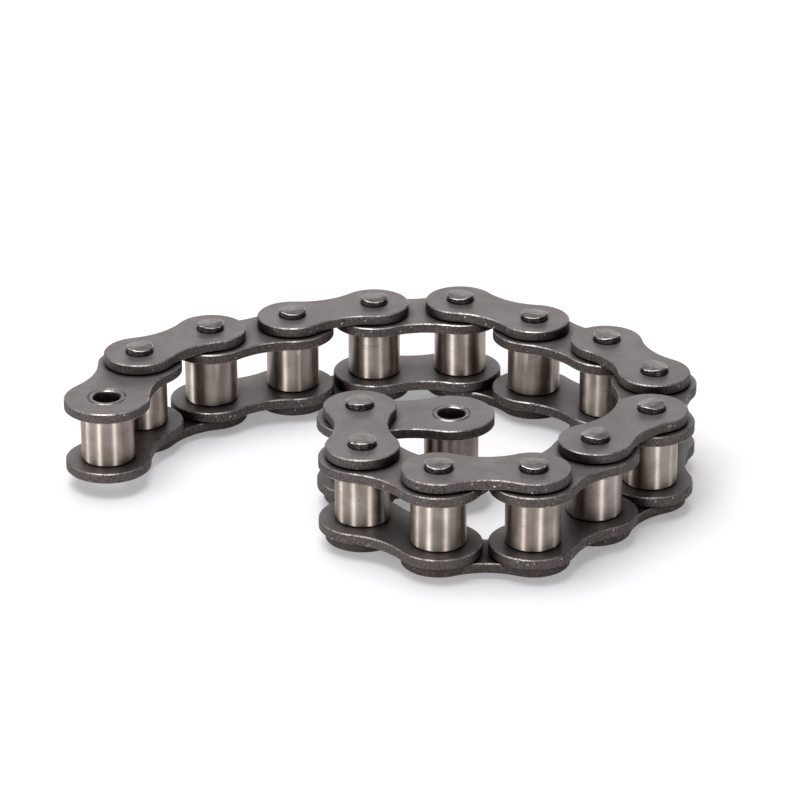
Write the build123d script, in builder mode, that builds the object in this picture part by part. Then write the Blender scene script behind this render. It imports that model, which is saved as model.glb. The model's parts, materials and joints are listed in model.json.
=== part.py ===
from build123d import *
from math import atan2, cos, degrees, radians, sin
import os

# A riveted roller chain of 31.75 mm pitch, lying on its side in a coil, so that every pin stands
# upright. The chain has both its ends on inner links. Inner links are two plates pressed onto two
# bushes, with a loose roller on each bush. Outer links are two plates riveted onto two pins, and
# each pin turns inside a bush. +X follows the first leg of the coil's width and +Z follows the pins.

# Driving dimensions, in millimetres
pitch = 31.75
inner_width = 19.2             # between the two plates of an inner link
inner_plate_thickness = 3.7
outer_plate_thickness = 3.7
inner_plate_end_radius = 15.0
inner_plate_half_waist = 11.9
outer_plate_end_radius = 12.7
outer_plate_half_waist = 9.2
pin_radius = 4.765
pin_stand_out = 2.35           # how far a riveted pin end stands out of its outer plate
bush_wall = 1.75
roller_radius = 9.45
plate_edge = 0.35              # broken edge round a blanked plate
bush_edge = 0.35               # chamfer round both edges of a bush's ends
hole_edge = 0.25               # chamfer at the outer mouth of a plate's holes
roller_edge = 0.4              # chamfer round both ends of a roller
rivet_land = 1.5               # half width of the flat left across a riveted pin end
rivet_fall = 0.5               # how far the peened facets fall from the flat to the pin's rim

# Clearances
pin_to_bush = 0.085            # radial, running fit
roller_to_bush = 0.15          # radial, loose running fit
roller_to_plate = 0.2          # at each end of a roller
plate_to_plate = 0.35          # between an inner plate and the outer plate beside it
bush_stand_out = 0.1           # a pressed bush ends just proud of its plates

# Which way each link points, in degrees from +X towards +Y, from the outer free end of the coil
# to the free end inside it. Links are inner, outer, inner and so on, and both ends are inner.
link_headings = (72, 40, 23, 21, 5, -33, -37, -61, -95, -130, -133, -180, -216, -268, -356)

# Sizes that follow from the driving dimensions
bush_bore_radius = pin_radius + pin_to_bush
bush_radius = bush_bore_radius + bush_wall
roller_bore_radius = bush_radius + roller_to_bush
roller_length = inner_width - 2 * roller_to_plate
bush_length = inner_width + 2 * (inner_plate_thickness + bush_stand_out)
outer_plate_inset = inner_plate_thickness + plate_to_plate
link_half_width = inner_width / 2 + outer_plate_inset + outer_plate_thickness
pin_length = 2 * (link_half_width + pin_stand_out)
middle = pin_length / 2

# The chain's joints, laid link after link and then moved so that the box round the whole coil
# has its middle over the origin
joints = [Vector(0, 0)]
for heading in link_headings:
    step = Vector(cos(radians(heading)), sin(radians(heading))) * pitch
    joints.append(joints[-1] + step)
joint_xs = [joint.X for joint in joints]
joint_ys = [joint.Y for joint in joints]
coil_middle = Vector((min(joint_xs) + max(joint_xs)) / 2, (min(joint_ys) + max(joint_ys)) / 2)
joints = [joint - coil_middle for joint in joints]


def link_plane(index):
    """The plane of one link: its origin on the link's first joint, its x towards the second."""
    heading = radians(link_headings[index])
    return Plane(origin=joints[index], x_dir=(cos(heading), sin(heading), 0), z_dir=(0, 0, 1))


def plate_outline(end_radius, half_waist, hole_radius):
    """A figure-eight link plate, lying along X from its first hole: two round ends and, between
    them, a waist of two hollow arcs that run into the ends without a corner."""
    waist_radius = (pitch**2 / 4 + half_waist**2 - end_radius**2) / (2 * (end_radius - half_waist))
    share = end_radius / (end_radius + waist_radius)
    meet_x = share * pitch / 2
    meet_y = share * (half_waist + waist_radius)
    with BuildSketch() as outline:
        with BuildLine():
            near_waist = ThreePointArc(
                (meet_x, -meet_y), (pitch / 2, -half_waist), (pitch - meet_x, -meet_y)
            )
            far_end = ThreePointArc(
                near_waist @ 1, (pitch + end_radius, 0), (pitch - meet_x, meet_y)
            )
            far_waist = ThreePointArc(far_end @ 1, (pitch / 2, half_waist), (meet_x, meet_y))
            ThreePointArc(far_waist @ 1, (-end_radius, 0), near_waist @ 0)
        make_face()
        with Locations((0, 0), (pitch, 0)):
            Circle(hole_radius, mode=Mode.SUBTRACT)
    return outline.sketch


inner_outline = plate_outline(inner_plate_end_radius, inner_plate_half_waist, bush_radius)
outer_outline = plate_outline(outer_plate_end_radius, outer_plate_half_waist, pin_radius)


def rims(solids):
    """The outer edges of every flat face that looks up or down."""
    flats = solids.faces().filter_by(Plane.XY)
    return [edge for flat in flats for edge in flat.outer_wire().edges()]


def mouths(face):
    """The edges of the two holes in one flat face of a plate."""
    return [edge for wire in face.inner_wires() for edge in wire.edges()]


def inner_link(number, plane):
    """Two plates pressed onto two bushes. The plates stand on the inside of the chain's width."""
    lower_base = middle - inner_width / 2 - inner_plate_thickness
    with BuildPart() as lower_plate:
        with BuildSketch(plane.offset(lower_base)):
            add(inner_outline)
        extrude(amount=inner_plate_thickness)
        outside = lower_plate.faces().sort_by(Axis.Z)[0]
        chamfer(mouths(outside), hole_edge)
        chamfer(rims(lower_plate), plate_edge)
    finish(lower_plate.part, f"inner_plate_lower_{number}")

    with BuildPart() as upper_plate:
        with BuildSketch(plane.offset(middle + inner_width / 2)):
            add(inner_outline)
        extrude(amount=inner_plate_thickness)
        outside = upper_plate.faces().sort_by(Axis.Z)[-1]
        chamfer(mouths(outside), hole_edge)
        chamfer(rims(upper_plate), plate_edge)
    finish(upper_plate.part, f"inner_plate_upper_{number}")

    with BuildPart() as bushes:
        with BuildSketch(plane.offset(middle - bush_length / 2)):
            with Locations((0, 0), (pitch, 0)):
                Circle(bush_radius)
                Circle(bush_bore_radius, mode=Mode.SUBTRACT)
        extrude(amount=bush_length)
        chamfer(bushes.edges().filter_by(GeomType.CIRCLE), bush_edge)
    finish(bushes.part, f"bushes_{number}")


def roller(number, plane, along):
    """A loose tube on one bush, a little shorter than the space between the plates."""
    with BuildPart() as tube:
        with BuildSketch(plane.offset(middle - roller_length / 2)):
            with Locations((along, 0)):
                Circle(roller_radius)
                Circle(roller_bore_radius, mode=Mode.SUBTRACT)
        extrude(amount=roller_length)
        rounds = tube.edges().filter_by(GeomType.CIRCLE)
        chamfer(rounds.filter_by(lambda edge: edge.radius > roller_bore_radius), roller_edge)
    finish(tube.part, f"roller_{number:02d}")


def outer_link(number, plane):
    """Two plates outside the inner links, riveted onto the ends of two pins."""
    with BuildPart() as plates:
        for base in (middle - link_half_width, middle + link_half_width - outer_plate_thickness):
            with BuildSketch(plane.offset(base)):
                add(outer_outline)
            extrude(amount=outer_plate_thickness)
        levels = plates.faces().filter_by(Plane.XY).sort_by(Axis.Z)
        chamfer(mouths(levels[0]) + mouths(levels[-1]), hole_edge)
        chamfer(rims(plates), plate_edge)
    finish(plates.part, f"outer_plates_{number}")

    # Each pin end is peened down to either side of a flat land that runs along its link
    slope = degrees(atan2(rivet_fall, pin_radius - rivet_land))
    with BuildPart() as pins:
        with BuildSketch(plane):
            with Locations((0, 0), (pitch, 0)):
                Circle(pin_radius)
        extrude(amount=pin_length)
        for side in (1, -1):
            top = Plane(plane * Location((0, side * rivet_land, pin_length), (-side * slope, 0, 0)))
            split(bisect_by=top, keep=Keep.BOTTOM)
            foot = Plane(plane * Location((0, side * rivet_land, 0), (side * slope, 0, 0)))
            split(bisect_by=foot, keep=Keep.TOP)
    finish(pins.part, f"pins_{number}")


def finish(piece, name):
    """Label a finished piece and write it to its own file."""
    piece.label = name
    export_step(piece, f"parts/{name}.step")


os.makedirs("parts", exist_ok=True)
for index in range(len(link_headings)):
    plane = link_plane(index)
    number = index // 2 + 1
    if index % 2:
        outer_link(number, plane)
    else:
        inner_link(number, plane)
        roller(index + 1, plane, 0)
        roller(index + 2, plane, pitch)
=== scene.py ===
import json
import math

import bpy
from mathutils import Matrix, Vector


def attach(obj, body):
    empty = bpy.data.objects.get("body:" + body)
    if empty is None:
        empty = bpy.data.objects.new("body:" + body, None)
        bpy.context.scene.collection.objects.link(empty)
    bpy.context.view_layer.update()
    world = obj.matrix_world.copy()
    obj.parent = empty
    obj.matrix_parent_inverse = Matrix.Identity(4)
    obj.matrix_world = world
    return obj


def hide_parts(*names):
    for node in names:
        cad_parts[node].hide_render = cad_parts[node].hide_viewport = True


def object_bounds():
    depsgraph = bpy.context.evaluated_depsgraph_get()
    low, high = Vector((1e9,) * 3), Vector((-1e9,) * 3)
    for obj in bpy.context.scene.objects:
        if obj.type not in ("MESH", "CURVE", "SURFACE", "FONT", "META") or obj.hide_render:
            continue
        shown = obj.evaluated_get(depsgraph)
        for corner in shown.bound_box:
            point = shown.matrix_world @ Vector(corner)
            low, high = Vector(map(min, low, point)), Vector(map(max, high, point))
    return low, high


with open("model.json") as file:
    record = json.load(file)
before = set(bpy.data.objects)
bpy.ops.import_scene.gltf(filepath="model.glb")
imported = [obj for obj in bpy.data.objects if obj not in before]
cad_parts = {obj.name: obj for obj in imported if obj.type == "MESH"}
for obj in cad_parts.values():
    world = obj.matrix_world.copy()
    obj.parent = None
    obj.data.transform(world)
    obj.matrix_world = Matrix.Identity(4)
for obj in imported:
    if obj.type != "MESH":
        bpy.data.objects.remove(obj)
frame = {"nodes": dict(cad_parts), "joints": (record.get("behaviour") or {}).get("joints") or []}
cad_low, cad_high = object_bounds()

# ---------------------------------------------------------------------------------------------
# Bushes: ground steel tube, pressed through the two plates of an inner link and standing just
# proud of them. Their ends are open at both free ends of the chain: a dark ring whose broken
# edges are rubbed bright, with a painted highlight laid along all of them, and with painted
# shade in the grooves. A pin turns inside each of the others.
# ---------------------------------------------------------------------------------------------


class Wire:
    """An output of a shader node, on which Python arithmetic adds Math nodes."""

    def __init__(self, socket):
        self.socket = socket
        self.tree = socket.id_data

    def math(self, operation, first, second):
        node = self.tree.nodes.new("ShaderNodeMath")
        node.operation = operation
        for slot, value in zip(node.inputs, (first, second)):
            connect(slot, value)
        return Wire(node.outputs[0])

    def __add__(self, other):
        return self.math("ADD", self, other)

    def __sub__(self, other):
        return self.math("SUBTRACT", self, other)

    def __rsub__(self, other):
        return self.math("SUBTRACT", other, self)

    def __mul__(self, other):
        return self.math("MULTIPLY", self, other)

    def __abs__(self):
        return self.math("ABSOLUTE", self, 0)

    __radd__ = __add__
    __rmul__ = __mul__


def connect(slot, value):
    """Links a wire to an input, or sets the input to a plain value."""
    if isinstance(value, Wire):
        slot.id_data.links.new(value.socket, slot)
    else:
        slot.default_value = value


class Finish:
    """A finish: a material whose nodes are all made by one method."""

    def __init__(self, name):
        self.material = bpy.data.materials.new(name)
        self.material.use_nodes = True
        self.tree = self.material.node_tree
        self.tree.nodes.clear()

    def node(self, kind, settings=None, inputs=None, output=0):
        made = self.tree.nodes.new("ShaderNode" + kind)
        for setting, value in (settings or {}).items():
            setattr(made, setting, value)
        for slot, value in (inputs or {}).items():
            connect(made.inputs[slot], value)
        return Wire(made.outputs[output]) if made.outputs else None

    def noise(self, cell, detail, stretch=(1, 1, 1), shift=0.0):
        """Noise from 0 to 1 with cells of a size in metres, drawn out where stretch is over 1."""
        point = self.node("TexCoord", output="Object")
        drawn = [1 / length for length in stretch]
        point = self.node("Mapping", inputs={"Vector": point, "Scale": drawn})
        inputs = {"Vector": point, "W": shift, "Scale": 1 / cell, "Detail": detail}
        return self.node("TexNoise", {"noise_dimensions": "4D"}, inputs)

    def step(self, value, low, high):
        """0 at low, 1 at high and smooth between them. Low may be the larger one."""
        inputs = {"Value": value, "From Min": low, "From Max": high}
        return self.node("MapRange", {"interpolation_type": "SMOOTHSTEP"}, inputs)

    def blend(self, share, first, second):
        """The first colour where share is 0, the second where it is 1."""
        # The node repeats the names A, B and Result for each kind of value, so its colour
        # sockets go by their number.
        color_a, color_b, color_result = 6, 7, 2
        inputs = {"Factor": share, color_a: first, color_b: second}
        return self.node("Mix", {"data_type": "RGBA"}, inputs, output=color_result)

    def upright(self):
        """1 on faces that look straight up or down, 0 on walls."""
        normal = self.node("NewGeometry", output="True Normal")
        return abs(self.node("SeparateXYZ", inputs={"Vector": normal}, output="Z"))

    def crevice(self, reach):
        """1 deep in a groove or against a neighbour within reach, 0 in the open. It masks painted shade.
        """
        inputs = {"Distance": reach, "Color": (1, 1, 1, 1)}
        light = self.node("AmbientOcclusion", {"samples": 8}, inputs, output="AO")
        return self.step(light, 0.8, 0.45)

    def steel(self, color, roughness, relief, depth, anisotropic=0.0):
        """Closes the finish as a metal with a relief of a depth in metres."""
        quarter_turn = 0.25
        bump = self.node("Bump", inputs={"Distance": depth, "Height": relief})
        shader = self.node("BsdfPrincipled", inputs={
            "Base Color": color, "Roughness": roughness, "Metallic": 1.0, "Normal": bump,
            "Anisotropic": anisotropic,
            "Anisotropic Rotation": quarter_turn if anisotropic else 0.0,
        })
        self.node("OutputMaterial", inputs={"Surface": shader})
        return self.material


# Painted shade: narrow grooves and the gaps between parts are darkened in colour.
groove_reach = 0.0008
groove_painted_shade = (0.02, 0.017, 0.015, 1)


def bush_finish():
    dull, ground, wear_and_highlight_color = (0.15, 0.135, 0.128, 1), (0.24, 0.22, 0.21, 1), (0.66, 0.63, 0.6, 1)
    finish = Finish("bush_steel")
    upright = finish.upright()
    edge = finish.step(upright, 0.3, 0.5) * finish.step(upright, 0.95, 0.85)
    stain = finish.noise(cell=0.0022, detail=4)
    grain = finish.noise(cell=0.0004, detail=2, shift=4)
    color = finish.blend(finish.step(stain, 0.35, 0.65), dull, ground)
    # Wear on the edges, and a painted highlight: every edge gets a bright share, broken ones more.
    wear_and_highlight = edge * (0.35 + finish.step(stain + grain * 0.6, 0.6, 0.85) * 0.65)
    color = finish.blend(wear_and_highlight, color, wear_and_highlight_color)
    # Painted shade in the groove round the bush.
    color = finish.blend(finish.crevice(groove_reach), color, groove_painted_shade)
    roughness = 0.38 - wear_and_highlight * 0.1
    return finish.steel(color, roughness, relief=grain, depth=0.00004)


bush_steel = bush_finish()
for name, node in frame["nodes"].items():
    if name.startswith("bushes"):
        node.material_slots[0].material = bush_steel


# ---------------------------------------------------------------------------------------------
# Rollers: tube turned between its ends and polished by the teeth that it has run over. The fine
# turning marks run round it and draw each lamp out into an upright band. Small pits are left.
# ---------------------------------------------------------------------------------------------
def roller_finish(name, shift):
    """One finish of the rollers. Shift moves its patterns, so that neighbours differ."""
    dull, polished = (0.29, 0.245, 0.215, 1), (0.5, 0.438, 0.396, 1)
    pit_dirt, scratch_dirt = (0.07, 0.055, 0.048, 1), (0.12, 0.1, 0.09, 1)
    finish = Finish(name)
    streak = finish.noise(cell=0.0028, detail=2, stretch=(1, 1, 14), shift=shift)
    turned = finish.noise(cell=0.00022, detail=2, stretch=(30, 30, 1), shift=shift + 1)
    stain = finish.noise(cell=0.006, detail=4, shift=shift + 2)
    pitting = finish.noise(cell=0.0007, detail=4, shift=shift + 5)
    pits = finish.step(pitting, 0.36, 0.28) * (0.1 + finish.step(stain, 0.5, 0.68))
    scoring = finish.noise(cell=0.0006, detail=2, stretch=(14, 14, 1), shift=shift + 8)
    scratch = finish.step(scoring, 0.69, 0.73)

    tone = finish.step(streak * 0.55 + stain * 0.45, 0.36, 0.64)
    color = finish.blend(tone, dull, polished)
    color = finish.blend(pits * 0.75, color, pit_dirt)
    color = finish.blend(scratch * 0.6, color, scratch_dirt)
    roughness = 0.41 + tone * 0.05 + pits * 0.15
    relief = turned * 0.35 - pits - scratch * 0.8
    return finish.steel(color, roughness, relief, depth=0.00003, anisotropic=0.9)


roller_shades = 4
roller_shift = 17.0
roller_steel = [
    roller_finish(f"roller_steel_{shade + 1}", shade * roller_shift)
    for shade in range(roller_shades)
]
for name, node in frame["nodes"].items():
    if name.startswith("roller"):
        number = int(name.rsplit("_", 1)[1])
        node.material_slots[0].material = roller_steel[number % roller_shades]


# ---------------------------------------------------------------------------------------------
# Link plates, inner and outer: blanked from strip, hardened to a brown grey and tumbled. Their
# flat faces are satin, their sheared walls grainy with painted glints, and the rims are rubbed
# bright in places, which also stands as a painted highlight. Painted shade darkens the grooves
# and the faces sheltered by rollers and plates.
# ---------------------------------------------------------------------------------------------
def plate_finish(name, shift):
    """One finish of the plates. Shift moves its patterns, so that neighbours differ."""
    dull, satin = (0.2, 0.178, 0.172, 1), (0.27, 0.248, 0.244, 1)
    torn, smeared = (0.06, 0.05, 0.046, 1), (0.135, 0.117, 0.11, 1)
    wear_and_highlight_color, painted_glint, pit_dirt = (0.68, 0.645, 0.61, 1), (0.7, 0.67, 0.64, 1), (0.04, 0.034, 0.03, 1)
    foot_reach, foot_painted_shade = 0.014, (0.03, 0.023, 0.02, 1)
    finish = Finish(name)
    upright = finish.upright()
    wall = finish.step(upright, 0.5, 0.2)
    rim = finish.step(upright, 0.2, 0.6) * finish.step(upright, 0.96, 0.85)

    cloud = finish.noise(cell=0.019, detail=3, shift=shift)
    smudge = finish.noise(cell=0.005, detail=4, shift=shift + 3)
    grain = finish.noise(cell=0.0005, detail=2, shift=shift + 7)
    shear = finish.noise(cell=0.0005, detail=3, stretch=(1, 1, 1.8), shift=shift + 5)
    pits = finish.step(finish.noise(cell=0.0008, detail=2, shift=shift + 11), 0.33, 0.26)
    # Painted glints: sparse bright specks on the sheared walls.
    painted_glint_specks = finish.step(finish.noise(cell=0.0009, detail=1, shift=shift + 14), 0.70, 0.76)

    tone = finish.step(cloud * 0.6 + smudge * 0.4, 0.34, 0.66)
    flat = finish.blend(tone, dull, satin)
    sheared = finish.blend(finish.step(shear, 0.3, 0.7), torn, smeared)
    color = finish.blend(wall, flat, sheared)
    color = finish.blend(painted_glint_specks * wall, color, painted_glint)
    # Rubbed wear on the rims, which also serves as a painted highlight.
    wear_and_highlight = rim * finish.step(smudge + grain, 0.88, 1.12)
    color = finish.blend(wear_and_highlight, color, wear_and_highlight_color)
    color = finish.blend(pits * 0.7, color, pit_dirt)
    # Painted shade on faces sheltered by rollers and plates.
    color = finish.blend(finish.crevice(foot_reach) * 0.85, color, foot_painted_shade)
    # Painted shade in the narrow grooves of the plates.
    color = finish.blend(finish.crevice(groove_reach) * 0.85, color, groove_painted_shade)

    roughness = 0.5 + tone * 0.06 + wall * 0.1 - wear_and_highlight * 0.15 + pits * 0.2
    relief = (grain * (0.2 + wall * 0.3) + shear * wall * 0.7 - pits * 0.6) * (1 - rim * 0.8)
    return finish.steel(color, roughness, relief, depth=0.00006)


plate_shades = 3
plate_shift = 13.0
plate_steel = [
    plate_finish(f"plate_steel_{shade + 1}", shade * plate_shift)
    for shade in range(plate_shades)
]
for name, node in frame["nodes"].items():
    if "plate" in name:
        number = int(name.rsplit("_", 1)[1])
        shade = (number + ("upper" in name)) % plate_shades
        node.material_slots[0].material = plate_steel[shade]


# ---------------------------------------------------------------------------------------------
# Pins: hardened rod pressed through the outer plates. Each end is peened over by two blows, which
# leave a flat land along the link between two sloping facets, and a rim that is rubbed bright and
# also carries a painted highlight. Painted shade blackens the sides of the head and its foot.
# ---------------------------------------------------------------------------------------------
pin_radius = 0.004765
pin_sides = 72
pin_land = 0.0015
pin_fall = 0.0005
pin_slope = math.atan2(pin_fall, pin_radius - pin_land)
pin_rim = 0.00028
pin_rim_steps = 10
pin_smooth = math.radians(8.2)
slack = 0.000001


def pin_finish():
    dull, ground, wear_and_highlight_color = (0.12, 0.104, 0.098, 1), (0.23, 0.21, 0.2, 1), (0.85, 0.82, 0.79, 1)
    hammered, painted_shade_black = (0.27, 0.25, 0.24, 1), (0.035, 0.029, 0.027, 1)
    foot_reach = 0.0012
    finish = Finish("pin_steel")
    upright = finish.upright()
    rim = finish.step(upright, 0.15, 0.5) * finish.step(upright, 0.97, 0.9)
    struck = finish.step(upright, 0.9, 0.97)
    wall = finish.step(upright, 0.3, 0.1)
    stain = finish.noise(cell=0.0026, detail=4)
    grain = finish.noise(cell=0.0004, detail=2, shift=5)
    color = finish.blend(finish.step(stain, 0.35, 0.65), dull, ground)
    # Painted shade: the sides of the head are turned black in patches.
    color = finish.blend(wall * finish.step(grain, 0.6, 0.45), color, painted_shade_black)
    # Rubbed wear on the rim, which also serves as a painted highlight.
    wear_and_highlight = rim * finish.step(stain + grain * 0.5, 0.5, 0.8)
    color = finish.blend(wear_and_highlight, color, wear_and_highlight_color)
    color = finish.blend(struck * 0.35, color, hammered)
    # Painted shade at the foot of the head.
    color = finish.blend(finish.crevice(foot_reach) * 0.85, color, groove_painted_shade)
    roughness = 0.38 - wear_and_highlight * 0.12
    relief = grain * 0.5 + stain * struck * 2
    return finish.steel(color, roughness, relief, depth=0.00008)


pin_steel = pin_finish()
bpy.ops.object.select_all(action="DESELECT")
bpy.ops.mesh.primitive_cylinder_add(
    vertices=pin_sides, radius=pin_radius, depth=cad_high[2] - cad_low[2],
    location=(0, 0, (cad_high[2] + cad_low[2]) / 2),
)
pattern_pin = bpy.context.object
bpy.ops.object.transform_apply(location=True)
worn_rim = pattern_pin.modifiers.new("worn_rim", "BEVEL")
worn_rim.width = pin_rim
worn_rim.segments = pin_rim_steps
worn_rim.limit_method = "ANGLE"
bpy.ops.object.modifier_apply(modifier="worn_rim")
for end, up in ((cad_high[2], 1), (cad_low[2], -1)):
    for side in (1, -1):
        ridge = (0, side * pin_land, end)
        bpy.ops.object.mode_set(mode="EDIT")
        bpy.ops.mesh.select_all(action="SELECT")
        bpy.ops.mesh.bisect(plane_co=ridge, plane_no=(0, side, 0))
        bpy.ops.mesh.select_all(action="DESELECT")
        bpy.ops.object.mode_set(mode="OBJECT")
        for corner in pattern_pin.data.vertices:
            at_end = abs(corner.co.z - end) < 2 * pin_rim
            corner.select = at_end and corner.co.y * side > pin_land - slack
        bpy.ops.object.mode_set(mode="EDIT")
        bpy.ops.mesh.select_mode(type="VERT")
        bpy.ops.transform.rotate(
            value=side * up * pin_slope, orient_axis="X", center_override=ridge
        )
bpy.ops.object.mode_set(mode="OBJECT")
bpy.ops.object.shade_smooth_by_angle(angle=pin_smooth)
pattern_pin.data.materials.append(pin_steel)

pivots = {
    joint["name"]: Vector(joint["pos_m"])
    for joint in frame["joints"] if joint["name"].startswith("pivot")
}
for link in range(1, len(pivots) // 2 + 1):
    near, far = pivots[f"pivot_{2 * link - 1:02d}"], pivots[f"pivot_{2 * link:02d}"]
    heading = math.atan2(far.y - near.y, far.x - near.x)
    for number, foot in ((2 * link - 1, near), (2 * link, far)):
        pin = bpy.data.objects.new(f"riveted_pin_{number:02d}", pattern_pin.data.copy())
        bpy.context.collection.objects.link(pin)
        turn = Matrix.Rotation(heading, 4, "Z")
        pin.data.transform(Matrix.Translation((foot.x, foot.y, 0)) @ turn)
        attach(pin, f"outer_link_{link}")
        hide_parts(f"pins_{link}")
bpy.data.objects.remove(pattern_pin)


# ---------------------------------------------------------------------------------------------
# Studio: a white table, a broad soft lamp overhead, one in front that catches the rims, one low
# behind that lights the upper faces, and four strips which stand as bands in the rollers.
# ---------------------------------------------------------------------------------------------
bpy.ops.object.select_all(action="DESELECT")
table_size = 30
white_paper = (0.86, 0.85, 0.875, 1)
paper_lift = (1, 0.985, 1, 1)
paper_lift_strength = 0.28
bpy.ops.mesh.primitive_plane_add(size=table_size)
table = bpy.context.object
table.name = "table_top"
paper = Finish("white_table")
lit = paper.node("BsdfDiffuse", inputs={"Color": white_paper})
lift = paper.node("Emission", inputs={"Color": paper_lift, "Strength": paper_lift_strength})
lifted = paper.node("AddShader", inputs={0: lit, 1: lift})
seen = sum(
    paper.node("LightPath", output=f"Is {ray} Ray") for ray in ("Camera", "Glossy", "Transmission")
)
shown = paper.node("MixShader", inputs={0: seen, 1: lit, 2: lifted})
paper.node("OutputMaterial", inputs={"Surface": shown})
table.data.materials.append(paper.material)

world = bpy.data.worlds.new("white_room")
bpy.context.scene.world = world
world.use_nodes = True
room = world.node_tree.nodes["Background"]
room.inputs["Color"].default_value = (1, 1, 1, 1)
room.inputs["Strength"].default_value = 0.08


def softbox(name, azimuth, elevation, distance, width, height, radiance):
    """A rectangular lamp aimed at the chain. Azimuth 0 stands on the viewer's side, 90 on the
    right and 180 behind, in degrees."""
    turn, rise = math.radians(azimuth), math.radians(elevation)
    place = distance * Vector(
        (math.sin(turn) * math.cos(rise), -math.cos(turn) * math.cos(rise), math.sin(rise))
    )
    bpy.ops.object.light_add(type="AREA", location=place)
    lamp = bpy.context.object
    lamp.name = name
    lamp.data.shape = "RECTANGLE"
    lamp.data.size = width
    lamp.data.size_y = height
    lamp.data.energy = radiance * math.pi * width * height
    lamp.rotation_euler = (-place).to_track_quat("-Z", "Y").to_euler()


softbox("overhead_lamp", azimuth=-120, elevation=80, distance=1.2, width=1.2, height=1.0, radiance=3.1)
softbox("rim_lamp", azimuth=-25, elevation=66, distance=1.2, width=0.9, height=0.4, radiance=1.5)
softbox("back_lamp", azimuth=178, elevation=19, distance=1.4, width=1.5, height=0.5, radiance=1.85)
softbox("left_strip", azimuth=-88, elevation=7, distance=1.3, width=0.12, height=0.3, radiance=46)
softbox("front_left_strip", azimuth=-35, elevation=7, distance=1.5, width=0.17, height=0.34, radiance=50)
softbox("front_right_strip", azimuth=28, elevation=7, distance=1.5, width=0.14, height=0.34, radiance=44)
softbox("right_strip", azimuth=88, elevation=7, distance=1.3, width=0.06, height=0.3, radiance=20)

scene = bpy.context.scene
scene.view_settings.view_transform = "Standard"

camera_side = 0.0065
camera_distance = 1.2634
camera_height = 0.6074
camera_tilt = math.radians(24.588)
camera_lens = 178.1
camera_sensor = 36
bpy.ops.object.camera_add(location=(camera_side, -camera_distance, camera_height))
camera = bpy.context.object
camera.name = "camera"
camera.rotation_euler = (math.pi / 2 - camera_tilt, 0, 0)
camera.data.lens = camera_lens
camera.data.sensor_width = camera_sensor
scene.camera = camera
